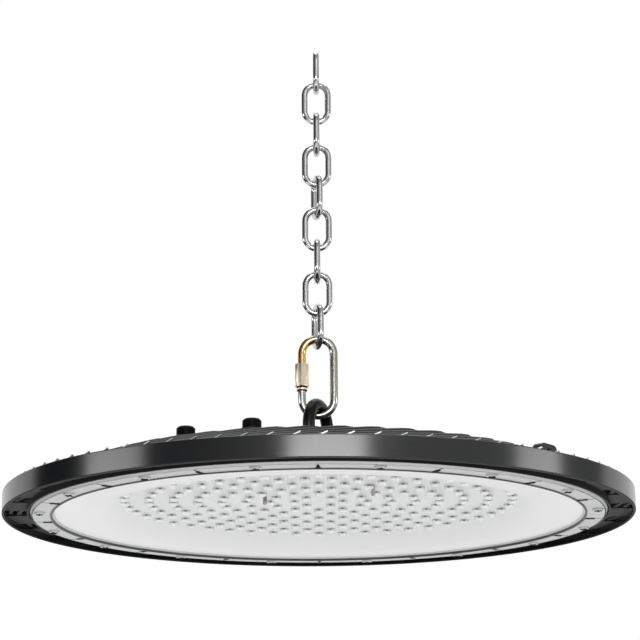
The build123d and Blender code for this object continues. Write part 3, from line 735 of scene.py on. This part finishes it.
def make_clamp_screws(finishes):
    """Button-head screws, each with a dark cross of painted shade that stands for its recess."""
    low = CLAMP_FACE - SCREW_HEAD_HEIGHT
    crown = low + CROSS_PROUD
    profile = [
        *[(SCREW_HEAD_RADIUS * share, crown + rise) for share, rise in SCREW_CROWN],
        (SCREW_HEAD_RADIUS, low + SCREW_SHOULDER),
        (SCREW_HEAD_RADIUS, CLAMP_FACE),
        (SCREW_SHANK_RADIUS, CLAMP_FACE),
        (SCREW_SHANK_RADIUS, CLAMP_FACE + SCREW_LENGTH),
        (0.0, CLAMP_FACE + SCREW_LENGTH),
    ]
    heads = bmesh.new()
    crosses = bmesh.new()
    for k in range(SCREW_COUNT):
        turn = tau * (k + 0.5) / SCREW_COUNT
        place = (SCREW_CIRCLE * cos(turn), SCREW_CIRCLE * sin(turn))
        turn_profile(heads, profile, SCREW_SIDES, place, closed=False)
        cross_piece(crosses, turn, SCREW_CIRCLE, CROSS_LENGTH, CROSS_WIDTH, low, crown + PAINTED_MARK_DEPTH)
    made = smooth(mesh_object("clamp_screw_heads", heads, finishes["clamp"], "fixture"))
    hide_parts("clamp_screws")
    mesh_object("clamp_screw_crosses", crosses, finishes["socket"], "fixture")


def sweep_wire(bm, path, radius, sides, closed=True):
    """A round wire along (point, outward, across) stations, closed on itself or with flat ends."""
    rings = []
    for point, outward, across in path:
        rings.append([
            bm.verts.new(point + radius * (cos(tau * k / sides) * outward + sin(tau * k / sides) * across))
            for k in range(sides)
        ])
    pairs = list(zip(rings, rings[1:]))
    if closed:
        pairs.append((rings[-1], rings[0]))
    else:
        bm.faces.new(rings[0])
        bm.faces.new(rings[-1])
    for a, b in pairs:
        for k in range(sides):
            j = (k + 1) % sides
            bm.faces.new((a[k], a[j], b[j], b[k]))


def loop_path(end_radius, low, high):
    """Centreline of a link in the XZ plane, with each point's outward direction."""
    path = []
    for centre, start in ((high - end_radius, 0.0), (low + end_radius, pi)):
        for k in range(BEND_STEPS + 1):
            angle = start + pi * k / BEND_STEPS
            outward = Vector((cos(angle), 0, sin(angle)))
            path.append((Vector((0, 0, centre)) + end_radius * outward, outward))
        side = -1 if start == 0.0 else 1
        other = low + end_radius if start == 0.0 else high - end_radius
        for k in range(1, LEG_STEPS):
            height = centre + (other - centre) * k / LEG_STEPS
            path.append((Vector((side * end_radius, 0, height)), Vector((side, 0, 0))))
    return path


def make_chain(finishes):
    """Smooth round-wire links in place of the CAD's eight-sided ones."""
    end_radius = (CHAIN_WIDTH - CHAIN_WIRE) / 2
    for number in range(1, CHAIN_LINKS + 1):
        name = f"chain_link_{number}"
        low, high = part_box(name)
        yaw = Matrix.Rotation(radians(90 * (number % 2) + CHAIN_TWISTS.get(number, 0.0)), 3, "Z")
        across = yaw @ Vector((0, 1, 0))
        path = loop_path(end_radius, low.z + CHAIN_WIRE / 2, high.z - CHAIN_WIRE / 2)
        stations = [(yaw @ point, yaw @ outward, across) for point, outward in path]
        bm = bmesh.new()
        sweep_wire(bm, stations, CHAIN_WIRE / 2, CHAIN_WIRE_SIDES)
        made = mesh_object(f"{name}_wire", bm, finishes["chain"], f"link_{number}")
        smooth(made, CHAIN_SHARP_ANGLE)
        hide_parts(name)


def screw_link_path(low, high, mouth_low, mouth_high):
    """The open loop's stations, from the mouth's lower end round to its upper end."""
    path = loop_path(LINK_END_RADIUS, low, high)
    start = next(k for k, (point, _) in enumerate(path) if point.x < 0 and point.z < mouth_high)
    after = next(k for k, (point, _) in enumerate(path) if k >= start and point.z < mouth_low)
    left = Vector((-1, 0, 0))
    lower_end = (Vector((-LINK_END_RADIUS, 0, mouth_low)), left)
    upper_end = (Vector((-LINK_END_RADIUS, 0, mouth_high)), left)
    return [lower_end, *path[after:], *path[:start], upper_end]


def make_link_wire(finishes):
    """The screw link's wire: an open loop whose mouth is inside the sleeve."""
    low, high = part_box("quick_link")
    path = screw_link_path(
        low.z + LINK_WIRE / 2,
        high.z - LINK_WIRE / 2,
        SLEEVE_LOW + STUB_IN_SLEEVE,
        SLEEVE_LOW + SLEEVE_TRAVEL,
    )
    across = Vector((0, 1, 0))
    stations = [(point, outward, across) for point, outward in path]
    bm = bmesh.new()
    sweep_wire(bm, stations, LINK_WIRE / 2, LINK_WIRE_SIDES, closed=False)
    made = mesh_object("quick_link_wire", bm, finishes["link"], "screw_link")
    smooth(made, LINK_SHARP_ANGLE)
    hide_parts("quick_link")


def make_link_collar(finishes):
    """The collar under the sleeve, between two grooves painted dark for the shade and dirt they hold."""
    top = SLEEVE_LOW - SLEEVE_GAP
    for name, finish, depth in COLLAR_BANDS:
        bottom = top - depth
        profile = [(0.0, top), (COLLAR_RADIUS, top), (COLLAR_RADIUS, bottom), (0.0, bottom)]
        bm = bmesh.new()
        turn_profile(bm, profile, COLLAR_SIDES, LINK_LEFT_LEG, closed=False)
        smooth(mesh_object(name, bm, finishes[finish], "screw_link"))
        top = bottom


def hexagon_tube(bm, centre, low, high):
    """A hexagon tube with a round bore and turned ends, with flats on its left and right."""
    cx, cy = centre
    rings = []
    for outline, height in (
        ("bore", low),
        ("turned", low),
        ("hexagon", low + SLEEVE_CHAMFER),
        ("hexagon", high - SLEEVE_CHAMFER),
        ("turned", high),
        ("bore", high),
    ):
        ring = []
        for k in range(SLEEVE_POINTS):
            angle = tau * k / SLEEVE_POINTS
            from_flat = (angle + pi / 6) % (pi / 3) - pi / 6
            reach = {
                "bore": LINK_WIRE / 2 + SLEEVE_GAP,
                "turned": SLEEVE_FLATS / 2,
                "hexagon": SLEEVE_FLATS / 2 / cos(from_flat),
            }[outline]
            ring.append(bm.verts.new((cx + reach * cos(angle), cy + reach * sin(angle), height)))
        rings.append(ring)
    for a, b in zip(rings, rings[1:] + rings[:1]):
        for k in range(SLEEVE_POINTS):
            j = (k + 1) % SLEEVE_POINTS
            bm.faces.new((a[k], a[j], b[j], b[k]))


def make_sleeve(finishes):
    """The screw link's hexagon sleeve."""
    bm = bmesh.new()
    hexagon_tube(bm, LINK_LEFT_LEG, SLEEVE_LOW, SLEEVE_HIGH)
    made = mesh_object("quick_link_nut", bm, finishes["sleeve"], "sleeve")
    smooth(made, SLEEVE_SHARP_ANGLE)
    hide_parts("quick_link_sleeve")


def studio_surface(name):
    """Plain pale stuff that camera, mirror and clear rays see as white."""
    made, shader = material(name)
    shader.inputs["Base Color"].default_value = (STAGE_SHADE, STAGE_SHADE, STAGE_SHADE, 1)
    shader.inputs["Roughness"].default_value = STAGE_ROUGHNESS
    links = made.node_tree.links
    rays = node(made, "ShaderNodeLightPath")
    seen = node(made, "ShaderNodeMath", operation="MAXIMUM")
    white = node(made, "ShaderNodeMath", operation="MAXIMUM")
    glow = node(made, "ShaderNodeEmission")
    mix = node(made, "ShaderNodeMixShader")
    links.new(rays.outputs["Is Camera Ray"], seen.inputs[0])
    links.new(rays.outputs["Is Glossy Ray"], seen.inputs[1])
    links.new(seen.outputs[0], white.inputs[0])
    links.new(rays.outputs["Is Transmission Ray"], white.inputs[1])
    links.new(white.outputs[0], mix.inputs["Fac"])
    links.new(shader.outputs["BSDF"], mix.inputs[1])
    links.new(glow.outputs["Emission"], mix.inputs[2])
    links.new(mix.outputs["Shader"], made.node_tree.nodes["Material Output"].inputs["Surface"])
    return made


def plane(name, corners, finish):
    """A flat stage piece from four corners."""
    mesh = bpy.data.meshes.new(name)
    mesh.from_pydata(corners, [], [(0, 1, 2, 3)])
    mesh.materials.append(finish)
    made = bpy.data.objects.new(name, mesh)
    bpy.context.scene.collection.objects.link(made)


def make_stage():
    """A pale floor well below the light and a backdrop behind it."""
    left = -STAGE_HALF_WIDTH
    right = STAGE_HALF_WIDTH
    front = [(left, -STAGE_HALF_WIDTH, FLOOR_HEIGHT), (right, -STAGE_HALF_WIDTH, FLOOR_HEIGHT)]
    back = [(left, BACKDROP_DISTANCE, FLOOR_HEIGHT), (right, BACKDROP_DISTANCE, FLOOR_HEIGHT)]
    top = [(left, BACKDROP_DISTANCE, BACKDROP_TOP), (right, BACKDROP_DISTANCE, BACKDROP_TOP)]
    plane("floor", [*front, *reversed(back)], studio_surface("floor_finish"))
    plane("backdrop", [*back, *reversed(top)], studio_surface("backdrop_finish"))


def around_light(azimuth, distance, height):
    """A place round the fixture: azimuth 0 is the camera's side and 90 its right."""
    angle = radians(azimuth)
    return Vector((distance * sin(angle), -distance * cos(angle), RIM_PLANE + height))


def area_lamp(name, place, size, power):
    """A soft box that faces the middle of the rim plane."""
    data = bpy.data.lights.new(name, "AREA")
    data.shape = "RECTANGLE"
    data.size, data.size_y = size
    data.energy = power
    lamp = bpy.data.objects.new(name, data)
    lamp.location = place
    lamp.rotation_mode = "QUATERNION"
    lamp.rotation_quaternion = (place - Vector((0, 0, RIM_PLANE))).to_track_quat("Z", "Y")
    bpy.context.scene.collection.objects.link(lamp)


def make_lights():
    """Soft boxes whose reflections make the rim's broad highlights."""
    for name, azimuth, distance, height, size, power in LAMPS:
        area_lamp(name, around_light(azimuth, distance, height), size, power)


def make_world():
    """A world that is brighter on one side, and white where the camera sees it."""
    world = bpy.data.worlds.new("studio")
    bpy.context.scene.world = world
    world.use_nodes = True
    tree = world.node_tree
    background = tree.nodes["Background"]
    direction = tree.nodes.new("ShaderNodeTexCoord")
    towards = tree.nodes.new("ShaderNodeVectorMath")
    towards.operation = "DOT_PRODUCT"
    towards.inputs[1].default_value = WORLD_BRIGHT_SIDE
    shade = tree.nodes.new("ShaderNodeMapRange")
    for socket, value in zip(("From Min", "From Max", "To Min", "To Max"), WORLD_SHADES):
        shade.inputs[socket].default_value = value
    tree.links.new(direction.outputs["Generated"], towards.inputs[0])
    tree.links.new(towards.outputs["Value"], shade.inputs["Value"])
    tree.links.new(shade.outputs["Result"], background.inputs["Color"])
    rays = tree.nodes.new("ShaderNodeLightPath")
    white = tree.nodes.new("ShaderNodeBackground")
    mix = tree.nodes.new("ShaderNodeMixShader")
    white.inputs["Color"].default_value = (1, 1, 1, 1)
    tree.links.new(rays.outputs["Is Camera Ray"], mix.inputs["Fac"])
    tree.links.new(background.outputs["Background"], mix.inputs[1])
    tree.links.new(white.outputs["Background"], mix.inputs[2])
    tree.links.new(mix.outputs["Shader"], tree.nodes["World Output"].inputs["Surface"])


def make_camera():
    """The photograph's camera: below the light, looking slightly up."""
    data = bpy.data.cameras.new("camera")
    data.sensor_fit = "HORIZONTAL"
    data.sensor_width = SENSOR
    data.lens = CAMERA_FOCAL_PIXELS / PHOTO_PIXELS * SENSOR
    camera = bpy.data.objects.new("camera", data)
    tilt = Matrix.Rotation(pi / 2 + CAMERA_PITCH, 4, "X")
    camera.matrix_world = Matrix.Translation(CAMERA_PLACE) @ tilt @ Matrix.Rotation(-CAMERA_ROLL, 4, "Z")
    bpy.context.scene.collection.objects.link(camera)
    bpy.context.scene.camera = camera


finishes = make_materials()
shade_casting(finishes["casting"])
shade_lens(finishes["lens"])
shade_link(finishes["link"])
dress_nodes(finishes)
make_lens_dish(finishes)
make_lens_details(finishes)
make_clamp_rings(finishes)
make_clamp_seams(finishes)
make_fin_ends(finishes)
make_cover_screw_crosses(finishes)
make_clamp_screws(finishes)
make_chain(finishes)
make_link_wire(finishes)
make_link_collar(finishes)
make_sleeve(finishes)
make_stage()
make_lights()
make_world()
make_camera()
bpy.context.scene.view_settings.view_transform = "Standard"
